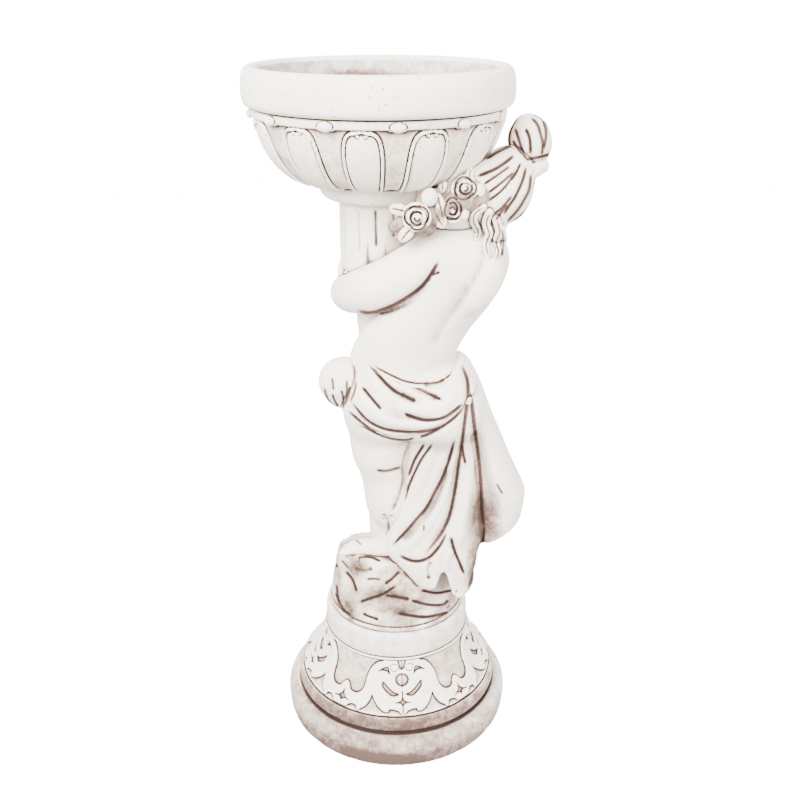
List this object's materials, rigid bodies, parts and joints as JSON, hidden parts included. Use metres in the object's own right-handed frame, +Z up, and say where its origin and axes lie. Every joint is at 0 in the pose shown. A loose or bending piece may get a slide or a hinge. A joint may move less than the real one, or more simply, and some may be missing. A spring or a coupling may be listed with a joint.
{
  "type": "girl statue planter",
  "caption": "Garden planter in cast stone: a girl seen from behind hugs a column that carries a lobed hollow basin, on a rock and a round plinth with scroll relief",
  "frame": {"origin": "On the axis of the round plinth, at its underside", "axes": "+Z up along the statue's height; -Y is the side the girl's back faces, as in the picture; +X is to the viewer's right of that view"},
  "size_m": [0.4026, 0.3554, 1.0003],
  "materials": {
    "plinth_stone": "matt cast stone, reddish brown wash in the relief and under the ring",
    "figure_stone": "matt cast stone, reddish brown wash in the folds, hair and wreath",
    "basin_stone": "matt cast stone, reddish brown wash between the lobes and inside the bowl"
  },
  "bodies": {
    "root": {"plinth": "plinth_stone", "girl_and_column": "figure_stone", "basin": "basin_stone"}
  },
  "joints": []
}
